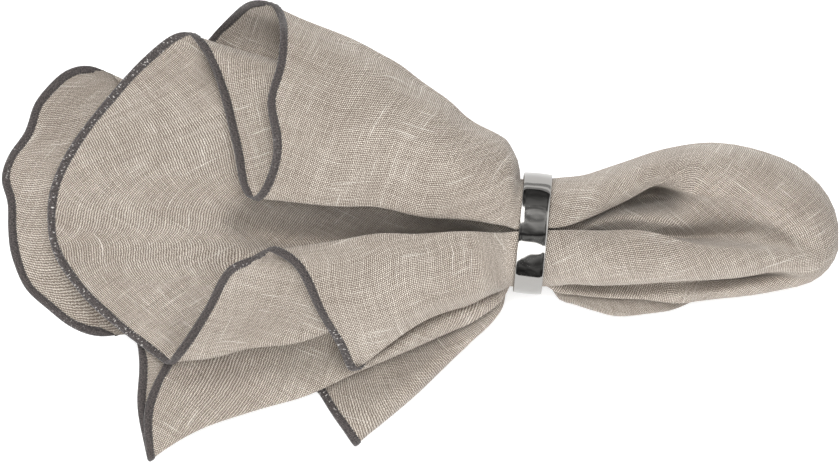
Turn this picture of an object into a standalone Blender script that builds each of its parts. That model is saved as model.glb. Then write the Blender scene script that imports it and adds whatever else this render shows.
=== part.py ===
"""A square linen napkin pulled by its middle through a polished metal band, lying on a surface.

Frame: +X runs from the hem to the puffed middle, +Y across it, +Z up. The origin is on the surface,
under the middle of the whole. Sizes below are in millimetres and are turned into metres at the end.
"""

from collections import namedtuple
from math import cos, exp, pi, radians, sin, tan

import bmesh
import bpy
from mathutils import Vector

MM = 0.001

# The cloth
CLOTH_THICKNESS = 1.0
LYING_Z = CLOTH_THICKNESS / 2

# The ring: a flat polished band, standing on its rim inside the gathered cloth
RING_OUTER_RADIUS = 22.5
RING_WALL = 1.3
RING_WIDTH = 10.6
RING_EDGE = 0.3
RING_SEGMENTS = 96
RING_YAW_DEG = -5.4
SHARP_DEG = 30
RING_X = 41.6
RING_Y = -0.7
RING_Z = RING_OUTER_RADIUS * cos(pi / RING_SEGMENTS)

# Places along X where the cloth's cross-section is set down
TIP_X = 153.9
FAR_X = 110.0
NEAR_X = 74.0
NECK_HALF = 6.8
NECK_RIGHT_X = RING_X + NECK_HALF
NECK_LEFT_X = RING_X - NECK_HALF
SHOULDER_X = 29.5
MID_X = 5.0

# The gathered cloth flares fast as it leaves the ring: its share of the way to the middle section
SHOULDER_SHARE_UPPER = 0.48
SHOULDER_SHARE_LOWER = 0.32
SHOULDER_SHARE_Z = 0.3
NECK_FILL = 1.01
NECK_FOLD = 2.4
# How steeply a rib leaves the ring, against its mean slope up to the next section, and which of the gaps
# between its known points begins or ends at the ring
SKIRT_FLARE = 1.3
SKIRT_GAP = 3
LOW_PUFF_FLARE = 1.5
PUFF_GAP = 1
TIP_Y = -3.0
TIP_Z = 17.0
TIP_POWER = 2.1
YAW_REACH = 18.0

# Sections near the tip: angle on the round cap, and how far the section is drawn to an even oval
TIP_STEPS = [(12, 1.0), (28, 1.0), (45, 0.75), (65, 0.4)]
# Sections from the puff to the ring: x, the width of the folds there, and the same share
FAR_FOLD_SCALE = 0.3
PUFF_STEPS = [
    (FAR_X, FAR_FOLD_SCALE, 0.15),
    (97.0, 0.5, 0.05),
    (85.0, 0.75, 0),
    (NEAR_X, 0.9, 0),
    (65.0, 1, 0),
    (57.0, 1, 0),
    (NECK_RIGHT_X, 1, 0),
    (RING_X, 1, 0),
    (NECK_LEFT_X, 1, 0),
]
# Sections from the ring to the hem, a little closer together near the ring
SKIRT_STEPS = 11
SKIRT_POWER = 1.15

# Each row is a rib of the cloth, from the tip to the hem, in order around it from the open valley's floor.
# fold is the width of the bend where the rib is a fold, at the hem, and 0 where the cloth only curves there.
# cuts is how many points lie between the rib and the one after it. far, near, neck and mid are (y, z) in
# those sections, the neck's from the ring's centre. hem is the rib's (x, y, z) at the edge of the cloth.
Rib = namedtuple("Rib", "name fold cuts far near neck mid hem")

UPPER_SIDE = [
    Rib("valley", 0, 1, (2, 26), (5, 20), (0, 7), (4, 15.8), (-136, 8, 12)),
    Rib("fan_1", 0, 1, (6, 26.5), (9, 20), (6, 6.5), (16, 16), (-131, 28, 12.2)),
    Rib("fan_2", 0, 1, (9, 28.3), (12.5, 21), (11, 5), (30, 16.3), (-112, 53, 13.6)),
    Rib("fan_edge", 6, 1, (11, 30), (16.5, 23.5), (16.6, 3.5), (44, 18), (-86, 73.4, 16)),
    Rib("under_1", 0, 0, (12.5, 31.3), (15, 27), (14.5, 9), (33, 21), (-76.5, 60, 18.5)),
    Rib("under_2", 0, 0, (16, 32.6), (12.5, 29.5), (9.5, 14), (20, 23.5), (-69.3, 34, 22)),
    Rib("slit_edge", 6, 1, (18.5, 33.6), (10.2, 32.5), (1.85, 18.2), (5.2, 29), (-62.5, 12.4, 25.5)),
    Rib("ridge_1", 0, 1, (22, 34.5), (14, 37), (7.5, 18.1), (17, 33.5), (-54, 27, 31)),
    Rib("ridge_2", 0, 1, (27, 31.5), (19, 35), (13.9, 13.9), (31, 36), (-53, 48, 35)),
    Rib("ridge_3", 0, 1, (31, 25), (22.5, 28), (18, 7.8), (44, 32.5), (-49.5, 72, 33)),
    Rib("roll", 8, 0, (32.7, 17), (23.5, 19.5), (19.6, 0.3), (52.5, 22), (-56, 84.6, 23.5)),
    Rib("inner_1", 0, 0, (32.4, 14.6), (18, 17.3), (16, -0.5), (46, 14.2), (-70, 80, 11.5)),
    Rib("inner_2", 0, 1, (31.8, 13), (12, 17), (10, -0.5), (32, 12.6), (-84, 62, 11.4)),
    Rib("pleat_1", 1.7, 0, (31, 11.4), (6, 15.7), (3.5, -1.9), (10, 11.6), (-100, 14, 10.2)),
    Rib("ply_1", 0, 0, (30.2, 9.9), (14, 14.4), (11, -3.2), (30, 10.6), (-112, 38, 9.4)),
    Rib("pleat_2", 1.7, 0, (29.6, 8.4), (22, 13.2), (19, -4.5), (49, 9.7), (-100, 61.5, 8.5)),
    Rib("ply_2", 0, 0, (28, 7.3), (14, 12), (11, -5.9), (30, 8.8), (-113, 36, 7.7)),
    Rib("pleat_3", 1.7, 0, (26.5, 6.1), (6, 10.8), (3.5, -7.2), (12, 7.9), (-107, 12, 6.9)),
    Rib("ply_3", 0, 0, (25.4, 4.9), (14, 9.5), (11, -8.6), (30, 7), (-115, 36, 6.1)),
    Rib("pleat_4", 1.7, 0, (24.3, 3.7), (20.5, 8.3), (16.8, -10), (47, 6.1), (-102, 58.5, 5.3)),
    Rib("ply_4", 0, 0, (22.6, 2.9), (13, 7), (10, -11.3), (28, 5.2), (-116, 34, 4.5)),
    Rib("pleat_5", 1.7, 0, (20.8, 2.2), (6, 5.8), (3.5, -12.6), (14, 4.3), (-113, 10, 3.7)),
    Rib("ply_5", 0, 0, (19.4, 1.4), (12, 4.5), (7.5, -13.4), (27, 3.3), (-100, 36, 3)),
    Rib("lobe_fold", 2.2, 0, (18, 0.8), (16, 2.6), (12.0, -14.0), (38, 1.9), (-113, 57.5, 2.1)),
]

LOWER_SIDE = [
    Rib("lower_fan_1", 0, 1, (0, 26.5), (2, 19.5), (-6, 6.5), (-8, 16), (-133, -11, 12)),
    Rib("lower_fan_2", 0, 1, (-1.8, 28), (-2, 20.5), (-11, 5), (-17, 16.6), (-114, -33, 13)),
    Rib("lower_fan_edge", 6, 1, (-3, 29.3), (-8, 22.5), (-16.6, 3.5), (-27, 18.4), (-93.5, -48.6, 14.5)),
    Rib("lower_under_1", 0, 0, (-3.8, 30.3), (-6, 26), (-14.5, 9), (-20, 22), (-79.5, -28.5, 18)),
    Rib("lower_under_2", 0, 0, (-4.4, 31.3), (-3, 29), (-9.5, 14), (-11, 25), (-70.8, -13.6, 22)),
    Rib("lower_slit_edge", 4.5, 1, (-5, 32.4), (0.9, 32.2), (0.25, 18.2), (-0.2, 30), (-57, -7, 26)),
    Rib("lower_ridge_1", 0, 1, (-8, 33.6), (-4, 36.5), (-7.5, 18.1), (-8, 34), (-46, -13, 29)),
    Rib("lower_ridge_2", 0, 1, (-12.5, 33), (-12, 36), (-13.9, 13.9), (-18, 34), (-38, -27, 28)),
    Rib("lower_ridge_3", 0, 1, (-16, 30), (-18.5, 30), (-18, 7.8), (-27, 30), (-30, -41, 22)),
    Rib("lower_roll", 3, 0, (-17.2, 27), (-19.8, 24), (-19.6, 0.3), (-31.5, 23), (-23.7, -51, 17)),
    Rib("lower_inner_1", 0, 0, (-15.8, 23.5), (-15, 18.5), (-16, -0.5), (-29, 15), (-20, -38, 13.4)),
    Rib("lower_inner_2", 0, 1, (-15.9, 21.8), (-10, 17.5), (-10, -0.5), (-18, 12.8), (-44, -30, 12.4)),
    Rib("lower_pleat_1", 1.7, 0, (-16.6, 20.2), (-6, 16.3), (-3.5, -1.7), (-9, 11.8), (-72, -22, 10.8)),
    Rib("tail_1", 0, 0, (-19, 18.8), (-14, 15), (-9, -3), (-22, 10.9), (-92.5, -46, 9.9)),
    Rib("tail_2", 0, 0, (-21.6, 17), (-20, 15.9), (-14, -3.2), (-32, 10.9), (-99.5, -64, 9.7)),
    Rib("tail_fold", 1.9, 0, (-23.8, 14), (-24.8, 14.6), (-19.1, -4.4), (-40, 9.7), (-97.5, -80, 8.5)),
    Rib("strip_1", 0, 0, (-24.2, 12.3), (-20, 12.6), (-14, -5.8), (-32, 8.6), (-102.5, -63, 7.8)),
    Rib("strip_2", 0, 0, (-24.2, 10.8), (-14, 12), (-9, -5.8), (-22, 8.6), (-104, -44, 8)),
    Rib("lower_pleat_2", 1.7, 0, (-23.9, 9.2), (-6, 11), (-3.5, -7.1), (-10, 7.8), (-111, -18, 7.3)),
    Rib("lower_ply_1", 0, 0, (-23.2, 7.7), (-17, 10), (-11, -8.4), (-28, 6.8), (-100, -30, 6.4)),
    Rib("lower_pleat_3", 1.7, 0, (-22.5, 6.2), (-31.4, 8.2), (-17, -9.8), (-37.5, 6), (-84, -50, 5.6)),
    Rib("lower_ply_2", 0, 0, (-21.3, 4.9), (-17, 6.9), (-11, -11.1), (-28, 5.1), (-98, -28, 4.7)),
    Rib("lower_pleat_4", 1.7, 0, (-20, 3.8), (-6, 6.1), (-3.5, -12.2), (-12, 4.2), (-108, -16, 3.9)),
    Rib("side_1", 0, 1, (-18.6, 2.8), (-13, 4.9), (-7, -13.5), (-26, 3.3), (-76, -37, 3.1)),
    Rib("side_2", 0, 0, (-17, 1.9), (-20, 4.6), (-9.5, -13.4), (-42, 3.1), (-37, -58, 2.9)),
    Rib("side_fold", 1.9, 0, (-15.4, 1.1), (-26, 3), (-12.0, -14.0), (-54.5, 1.9), (-23.5, -79.5, 1.8)),
]

# The back of the cloth lies flat on the surface, between the upper and the lower side. Only its hem is listed.
BACK_HEM = [
    (-122.5, 59.8), (-131, 58), (-136.5, 54.5), (-142.6, 47.5), (-146, 37), (-151.3, 28), (-153.4, 19.5),
    (-151.6, 11), (-151.3, 1), (-150, -9), (-145, -19.5), (-136.5, -28), (-127.5, -35), (-118.5, -37.8),
    (-97, -38.5), (-58, -50), (-31.5, -63),
]
BACK_RADIUS = 19.6
BACK_START_DEG = -56.0
BACK_END_DEG = -124.0
# A few places of that hem curl off the surface
BACK_LIFT = {4: 0.9, 8: 0.5}


# How far the hem runs along a fold's two layers as it rounds it, and how close to the hem that begins
HEM_LEAN = {
    "fan_edge": 5.5, "slit_edge": 3.5, "roll": -6.0, "lobe_fold": -1.5,
    "lower_slit_edge": -5.0, "lower_fan_edge": -3.5, "lower_roll": -1.5,
}
LEAN_POWER = 5
# How much further the hem hangs out at a corner, and how close to the hem that begins
HANG = {"tail_fold": (-2.4, -5.2, 0)}
HANG_POWER = 14
# Small shifts of the folds in plan, each strongest at (x, y, z) and fading over its reach and its rise
Nudge = namedtuple("Nudge", "name x y z reach rise dx dy")
NUDGES = [
    Nudge("back left", -152.4, 20.9, 1, 14, 8, -1.5, 0),
    Nudge("back left low", -149.9, -3.1, 1, 12, 8, -1.1, 0),
    Nudge("back low", -144.3, -21.6, 1, 11, 8, -1.4, -0.9),
    Nudge("back low right", -133, -32, 1, 9, 8, -0.4, -0.9),
    Nudge("fan left", -135, 11.7, 12, 14, 8, -1.5, 0),
    Nudge("fan left low", -133.2, -5, 12, 10, 8, -0.9, 0),
    Nudge("upper hem", -52.5, 48.7, 35, 12, 8, -2.9, 0),
    Nudge("upper hem high", -51.5, 71, 33, 10, 8, -1.3, 0),
    Nudge("arch", -68.5, 80, 15, 10, 10, 0.6, -0.7),
    Nudge("roll out", -22, 70, 25, 18, 15, 1.1, 2),
    Nudge("roll in", 22, 40, 22, 10.5, 15, -1.2, -2.4),
    Nudge("slit edge", -15, 8, 29, 12, 7, 0, 1.8),
    Nudge("lower fan edge left", -76, -46.5, 15.5, 12, 5, 0, -1.5),
    Nudge("lower fan edge right", -50, -40.5, 17, 13, 5, 0, -1.4),
    Nudge("lower hem", -35, -31, 26, 13, 9, -0.9, 0),
    Nudge("tail low", -81, -75, 9, 16, 7, 0, 1.3),
    Nudge("tail right", -44, -62, 8, 10, 6, 0, -0.9),
    Nudge("strip", -103.5, -66, 8, 13, 7, -1.3, 0),
    Nudge("side hem", -31, -66, 2.5, 12, 6, -2.4, 0),
    Nudge("side right", 25, -31, 3, 10, 10, 2.2, -2),
    Nudge("lower roll", 27, -24.5, 22.8, 7, 7, 0, 1.7),
    Nudge("puff top", 84, 27, 20, 18, 16, 0, 2.4),
    Nudge("puff top right", 126, 30, 22, 10, 14, 0, -0.7),
    Nudge("puff end", 152, 8, 17, 18, 20, 1.2, 0.3),
    Nudge("puff end low", 147, -14, 17, 13, 20, 1, -1.2),
    Nudge("puff low", 129, -23, 17, 10, 20, 0, -0.7),
    Nudge("lobe left", 58, -25.5, 12, 6.5, 14, 0, -1.2),
    Nudge("lobe right", 96, -27.2, 10, 11, 12, 0.6, -2.9),
    Nudge("puff roll", 126, -15, 22, 13, 9, 0, 2.4),
    Nudge("puff slit edge", 88.8, 14.5, 33, 10, 6, 0, 2.4),
]


def blend(start, end, share):
    return start + (end - start) * share


def back_ribs():
    """The ribs of the flat back, spread evenly from the upper side's last rib to the lower side's."""
    first = UPPER_SIDE[-1]
    last = LOWER_SIDE[-1]
    ribs = []
    for index, (hem_x, hem_y) in enumerate(BACK_HEM):
        share = (index + 1) / (len(BACK_HEM) + 1)
        angle = radians(blend(BACK_START_DEG, BACK_END_DEG, index / (len(BACK_HEM) - 1)))

        far = (blend(first.far[0], last.far[0], share), LYING_Z)
        near = (blend(first.near[0], last.near[0], share), LYING_Z)
        neck = (BACK_RADIUS * cos(angle), BACK_RADIUS * sin(angle))
        mid = (blend(first.mid[0], last.mid[0], share), LYING_Z)
        hem = (hem_x, hem_y, LYING_Z + BACK_LIFT.get(index, 0))
        ribs.append(Rib(f"back_{index}", 0, 0, far, near, neck, mid, hem))
    return ribs


def all_ribs():
    """Every rib in order around the cloth."""
    return UPPER_SIDE + back_ribs() + LOWER_SIDE[::-1]


def smooth_value(places, values, at, puff_flare):
    """A smooth curve through values at rising places, level at the first and bent sharply at the ring."""
    gaps = [b - a for a, b in zip(places, places[1:])]
    slopes = [(b - a) / gap for a, b, gap in zip(values, values[1:], gaps)]
    tangents = [0.0]
    for before, after in zip(slopes, slopes[1:]):
        turns = before * after <= 0
        tangents.append(0.0 if turns else 2 * before * after / (before + after))
    tangents.append(slopes[-1])
    index = 0
    while index < len(gaps) - 1 and at > places[index + 1]:
        index += 1
    gap = gaps[index]
    start = slopes[index] * SKIRT_FLARE if index == SKIRT_GAP else tangents[index]
    end = slopes[index] * puff_flare if index == PUFF_GAP else tangents[index + 1]
    t = (at - places[index]) / gap
    return (
        (2 * t**3 - 3 * t**2 + 1) * values[index]
        + (t**3 - 2 * t**2 + t) * gap * start
        + (3 * t**2 - 2 * t**3) * values[index + 1]
        + (t**3 - t**2) * gap * end
    )


def rib_knots(rib):
    """The rib's known points as distances from the far section towards the hem, with their y and z."""
    neck_y = RING_Y + rib.neck[0] * NECK_FILL
    neck_z = RING_Z + rib.neck[1] * NECK_FILL
    share_y = SHOULDER_SHARE_UPPER if rib.mid[0] > 0 else SHOULDER_SHARE_LOWER
    hem_x, hem_y, hem_z = rib.hem
    return [
        (FAR_X, *rib.far),
        (NEAR_X, *rib.near),
        (NECK_RIGHT_X, neck_y, neck_z),
        (NECK_LEFT_X, neck_y, neck_z),
        (SHOULDER_X, blend(neck_y, rib.mid[0], share_y), blend(neck_z, rib.mid[1], SHOULDER_SHARE_Z)),
        (MID_X, *rib.mid),
        (hem_x, hem_y, hem_z),
    ]


def rib_point(rib, x):
    """The rib's point where it passes x, with the neck's sections turned square to the ring."""
    knots = rib_knots(rib)
    places = [FAR_X - knot[0] for knot in knots]
    puff_flare = LOW_PUFF_FLARE if rib.neck[1] < 0 else 0.0
    y = smooth_value(places, [knot[1] for knot in knots], FAR_X - x, puff_flare)
    z = smooth_value(places, [knot[2] for knot in knots], FAR_X - x, puff_flare)
    turned = max(0.0, 1 - max(0.0, abs(x - RING_X) - NECK_HALF) / YAW_REACH)
    return Vector((x - tan(radians(RING_YAW_DEG)) * (y - RING_Y) * turned, y, z))


def skirt_point(rib, share):
    """The rib's point at a share of the way from the ring to the hem."""
    x = blend(NECK_LEFT_X, rib.hem[0], share**SKIRT_POWER)
    return rib_point(rib, x) + Vector(HANG.get(rib.name, (0, 0, 0))) * share**HANG_POWER


def fold_points(before, apex, after, along, width, lean):
    """Three points that round a fold: one on each layer, with the fold's outermost point between them.

    lean moves the two layers' points apart along the fold, as where the hem crosses it aslant.
    """
    line = along.normalized()
    to_before = before - apex
    to_after = after - apex
    to_before = (to_before - line * to_before.dot(line)).normalized()
    to_after = (to_after - line * to_after.dot(line)).normalized()
    inward = to_before + to_after
    closed = inward.length / 2
    side = (to_before - to_after).normalized() * width / 2
    depth = inward.normalized() * width / 2 * closed if closed > 0.01 else Vector()
    return [apex + depth + side + line * lean, apex, apex + depth - side - line * lean]


def curve_between(before, start, end, after, count):
    """Evenly spread points between two on a smooth curve that passes through four."""
    points = []
    for index in range(1, count + 1):
        t = index / (count + 1)
        points.append(
            0.5
            * (
                2 * start
                + (end - before) * t
                + (2 * before - 5 * start + 4 * end - after) * t**2
                + (3 * start - before - 3 * end + after) * t**3
            )
        )
    return points


def section(ribs, before, apexes, after, fold_scale, fold_share):
    """The closed line of points around the cloth through its ribs' points, with rounded folds."""
    count = len(ribs)
    groups = []
    for index, rib in enumerate(ribs):
        apex = apexes[index]
        if rib.fold:
            width = blend(NECK_FOLD, rib.fold, fold_share) * fold_scale
            along = after[index] - before[index]
            beside = (apexes[index - 1], apexes[(index + 1) % count])
            lean = HEM_LEAN.get(rib.name, 0) * fold_share**LEAN_POWER
            groups.append(fold_points(beside[0], apex, beside[1], along, width, lean))
        else:
            groups.append([apex])
    line = []
    for index, rib in enumerate(ribs):
        group = groups[index]
        following = groups[(index + 1) % count]
        line += group
        earlier = group[-2] if len(group) > 1 else groups[index - 1][-1]
        later = following[1] if len(following) > 1 else groups[(index + 2) % count][0]
        line += curve_between(earlier, group[-1], following[0], later, rib.cuts)
    return [Vector((point.x, point.y, max(point.z, LYING_Z))) for point in line]


def rounded(line, share):
    """The line drawn towards an ellipse around the puff's axis, by a share from 0 to 1."""
    lengths = [0.0]
    for start, end in zip(line, line[1:] + line[:1]):
        lengths.append(lengths[-1] + (end - start).length)
    spread = max(point.y for point in line) - min(point.y for point in line)
    height = max(point.z for point in line) - min(point.z for point in line)
    middle_y = (max(point.y for point in line) + min(point.y for point in line)) / 2
    middle_z = (max(point.z for point in line) + min(point.z for point in line)) / 2
    points = []
    for index, point in enumerate(line):
        turn = blend(lengths[index] / lengths[-1], index / len(line), share / 2)
        angle = pi / 2 - 2 * pi * turn
        even = Vector((point.x, middle_y + spread / 2 * cos(angle), middle_z + height / 2 * sin(angle)))
        points.append(point.lerp(even, share))
    return points


def nudged(point):
    """The point with every small shift added."""
    shift = Vector()
    for nudge in NUDGES:
        away = ((point.x - nudge.x) ** 2 + (point.y - nudge.y) ** 2) / nudge.reach**2
        away += ((point.z - nudge.z) / nudge.rise) ** 2
        shift += Vector((nudge.dx, nudge.dy, 0)) * exp(-away)
    return point + shift


def cloth_sections():
    """All sections of the cloth in order, from beside its tip to its hem."""
    ribs = all_ribs()
    tip = Vector((TIP_X, TIP_Y, TIP_Z))
    far = [rib_point(rib, FAR_X) for rib in ribs]
    rows = [[tip.copy() for rib in ribs]]
    settings = []
    for angle_deg, share in TIP_STEPS:
        x = FAR_X + (TIP_X - FAR_X) * cos(radians(angle_deg))
        spread = (1 - cos(radians(angle_deg)) ** TIP_POWER) ** (1 / TIP_POWER)
        rows.append([Vector((x, blend(tip.y, p.y, spread), blend(tip.z, p.z, spread))) for p in far])
        settings.append((FAR_FOLD_SCALE * spread, 0, share))
    for x, fold_scale, share in PUFF_STEPS:
        rows.append([rib_point(rib, x) for rib in ribs])
        settings.append((fold_scale, 0, share))
    for step in range(1, SKIRT_STEPS + 1):
        share = step / SKIRT_STEPS
        rows.append([skirt_point(rib, share) for rib in ribs])
        settings.append((1, share, 0))
    rows.append(rows[-1])
    lines = []
    for index, (fold_scale, fold_share, round_share) in enumerate(settings):
        before, points, after = rows[index : index + 3]
        line = rounded(section(ribs, before, points, after, fold_scale, fold_share), round_share)
        lines.append([nudged(point) for point in line])
    return lines


def make_material(name, colour, roughness, metallic):
    material = bpy.data.materials.new(name)
    material.use_nodes = True
    shader = material.node_tree.nodes["Principled BSDF"]
    shader.inputs["Base Color"].default_value = (*colour, 1)
    shader.inputs["Roughness"].default_value = roughness
    shader.inputs["Metallic"].default_value = metallic
    return material


def add_object(name, mesh_data, material):
    mesh = bpy.data.meshes.new(name)
    mesh_data.to_mesh(mesh)
    mesh_data.free()
    mesh.materials.append(material)
    mesh.shade_smooth()
    part = bpy.data.objects.new(name, mesh)
    bpy.context.scene.collection.objects.link(part)
    return part


def build_napkin():
    """The cloth: one sheet through all the sections, closed at the tip, then given its thickness."""
    sheet = bmesh.new()
    lines = cloth_sections()
    tip = sheet.verts.new(Vector((TIP_X, TIP_Y, TIP_Z)) * MM)
    rows = [[sheet.verts.new(point * MM) for point in line] for line in lines]
    around = len(rows[0])
    for index in range(around):
        sheet.faces.new((tip, rows[0][index], rows[0][(index + 1) % around]))
    for row, following in zip(rows, rows[1:]):
        for index in range(around):
            beside = (index + 1) % around
            sheet.faces.new((row[index], following[index], following[beside], row[beside]))
    bmesh.ops.recalc_face_normals(sheet, faces=sheet.faces)
    napkin = add_object("napkin", sheet, make_material("linen", (0.46, 0.41, 0.35), 0.85, 0))
    thicken = napkin.modifiers.new("cloth thickness", "SOLIDIFY")
    thicken.thickness = CLOTH_THICKNESS * MM
    thicken.offset = 0
    return napkin


def build_ring():
    """The ring: a flat band with slightly broken edges, turned around its own axis."""
    inner = RING_OUTER_RADIUS - RING_WALL
    half = RING_WIDTH / 2
    profile = [
        (-half + RING_EDGE, RING_OUTER_RADIUS),
        (half - RING_EDGE, RING_OUTER_RADIUS),
        (half, RING_OUTER_RADIUS - RING_EDGE),
        (half, inner + RING_EDGE),
        (half - RING_EDGE, inner),
        (-half + RING_EDGE, inner),
        (-half, inner + RING_EDGE),
        (-half, RING_OUTER_RADIUS - RING_EDGE),
    ]
    band = bmesh.new()
    loops = []
    for segment in range(RING_SEGMENTS):
        angle = 2 * pi * (segment + 0.5) / RING_SEGMENTS
        loops.append([band.verts.new((x * MM, r * cos(angle) * MM, r * sin(angle) * MM)) for x, r in profile])
    for segment, loop in enumerate(loops):
        following = loops[(segment + 1) % RING_SEGMENTS]
        for index in range(len(profile)):
            beside = (index + 1) % len(profile)
            band.faces.new((loop[index], loop[beside], following[beside], following[index]))
    bmesh.ops.recalc_face_normals(band, faces=band.faces)
    ring = add_object("ring", band, make_material("polished metal", (0.8, 0.79, 0.78), 0.1, 1))
    ring.data.set_sharp_from_angle(angle=radians(SHARP_DEG))
    ring.location = Vector((RING_X, RING_Y, RING_Z)) * MM
    ring.rotation_euler = (0, 0, radians(RING_YAW_DEG))
    return ring


def main():
    for existing in list(bpy.data.objects):
        bpy.data.objects.remove(existing)
    build_napkin()
    build_ring()
    bpy.context.view_layer.update()


main()
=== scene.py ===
"""The looks of a linen napkin pulled through a polished metal band, seen from straight above.

Sizes are in millimetres unless a name says otherwise, and become metres where a mesh is made.
"""

from collections import namedtuple
from math import cos, pi, radians, sin, tan

import bpy
import numpy as np
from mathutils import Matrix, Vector


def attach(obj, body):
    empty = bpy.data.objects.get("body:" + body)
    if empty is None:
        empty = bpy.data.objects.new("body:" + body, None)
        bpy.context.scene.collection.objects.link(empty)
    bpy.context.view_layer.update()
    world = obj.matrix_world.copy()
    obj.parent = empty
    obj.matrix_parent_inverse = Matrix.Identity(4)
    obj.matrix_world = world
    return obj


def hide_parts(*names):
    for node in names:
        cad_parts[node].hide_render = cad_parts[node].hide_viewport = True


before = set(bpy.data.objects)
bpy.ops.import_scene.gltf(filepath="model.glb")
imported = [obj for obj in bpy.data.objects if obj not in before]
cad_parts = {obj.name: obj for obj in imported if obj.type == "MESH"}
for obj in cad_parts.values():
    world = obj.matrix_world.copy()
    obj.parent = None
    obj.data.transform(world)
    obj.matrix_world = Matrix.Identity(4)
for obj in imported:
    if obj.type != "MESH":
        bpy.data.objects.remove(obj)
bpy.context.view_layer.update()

MM = 0.001

# The photograph's frame: its camera looks straight down
PHOTO_WIDTH_PIXELS = 840
PHOTO_MM_PER_PIXEL = 0.37
CAMERA_LENS = 600.0
SENSOR_WIDTH = 36.0
CAMERA_PLANE_Z = 15.0
CAMERA_REACH_METRES = 10.0

# The ring
RING_OUTER_RADIUS = 22.5
RING_WALL = 1.3
RING_WIDTH = 10.6
RING_YAW_DEG = -5.4
RING_X = 41.6
RING_Y = -0.7
RING_Z = 22.488
# How much higher the round band's centre is than the faceted solid's, as both stand on the surface
RING_LIFT = 0.012
# How much the band stands out in its middle, and how wide its rims are. RING_RIM is the point that rounds
# an outer rim, in shares of the rim's width from its side and from its top.
RING_CROWN = 0.25
RING_EDGE = 0.4
RING_RIM = (0.35, 0.3)
RING_OUTER_STEPS = 8
RING_SEGMENTS = 256

# The cloth's sections along X, as the solid has them
CLOTH_THICKNESS = 0.5
SOLID_LYING_Z = 0.5
TIP_X = 153.9
FAR_X = 110.0
NEAR_X = 74.0
NECK_HALF = 6.8
NECK_RIGHT_X = RING_X + NECK_HALF
NECK_LEFT_X = RING_X - NECK_HALF
SHOULDER_X = 29.5
MID_X = 5.0
# How far a rib has come, at the shoulder, from the ring to the middle section
SHOULDER_SHARE_UPPER = 0.48
SHOULDER_SHARE_LOWER = 0.32
SHOULDER_SHARE_Z = 0.3
# How far the cloth spreads inside the ring, and how wide its folds are there
NECK_FILL = 1.01
NECK_FOLD = 2.4
# How steeply a rib leaves the ring, against its mean slope up to the next section, and which of the gaps
# between its known points begins or ends at the ring
SKIRT_FLARE = 1.3
SKIRT_GAP = 3
LOW_PUFF_FLARE = 1.5
PUFF_GAP = 1
# The puff's closed end, and how bluntly it rounds
TIP_Y = -3.0
TIP_Z = 17.0
TIP_POWER = 2.1
# How far beside the ring the sections still turn with it
YAW_REACH = 18.0
# How wide the folds are at the far section, as a share of their width at the ring, and how they widen
FAR_FOLD_SCALE = 0.3
FOLD_WIDENING = 1.1
# How far the sections are drawn to an ellipse: from the tip to the far section, and then towards the ring
TIP_ROUNDNESS = 1.7
TIP_ROUNDNESS_LOSS = 1.6
PUFF_ROUNDNESS = 0.15
PUFF_ROUNDNESS_LOSS = 0.5
# The skirt's sections lie the closer together the nearer they are to the ring
SKIRT_POWER = 1.15
# How many of a section's points a fold takes, and how little bent it counts as straight
FOLD_POINTS = 3
LEAST_BEND = 0.01

# The flat square, how often the lengths and widths on it are evened out, and the least turn, in radians,
# that is left for what is out of sight
REACH_SMOOTHING = 12
WIDTH_SMOOTHING = 30
LEAST_HIDDEN_TURN = 0.1
# Ribs whose strips of cloth are out of sight. They take up what the other ribs leave of a full turn.
HIDDEN_RIBS = {
    "inner_2", "pleat_1", "ply_1", "pleat_2", "ply_2", "pleat_3", "ply_3", "pleat_4", "ply_4", "pleat_5",
    "ply_5", "lower_pleat_4", "lower_ply_2", "lower_pleat_3", "lower_ply_1", "lower_pleat_2", "strip_2",
    "lower_pleat_1", "lower_inner_2",
}

# Each row is a rib of the cloth, from the tip to the hem, in order around it from the open valley's floor.
# fold is the width of the bend at the hem where the rib is a fold, and 0 where the cloth only curves.
# far, near, neck and mid are (y, z) in those sections, the neck's from the ring's centre. hem is the
# rib's (x, y, z) at the edge of the cloth.
Rib = namedtuple("Rib", "name fold far near neck mid hem")

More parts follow.
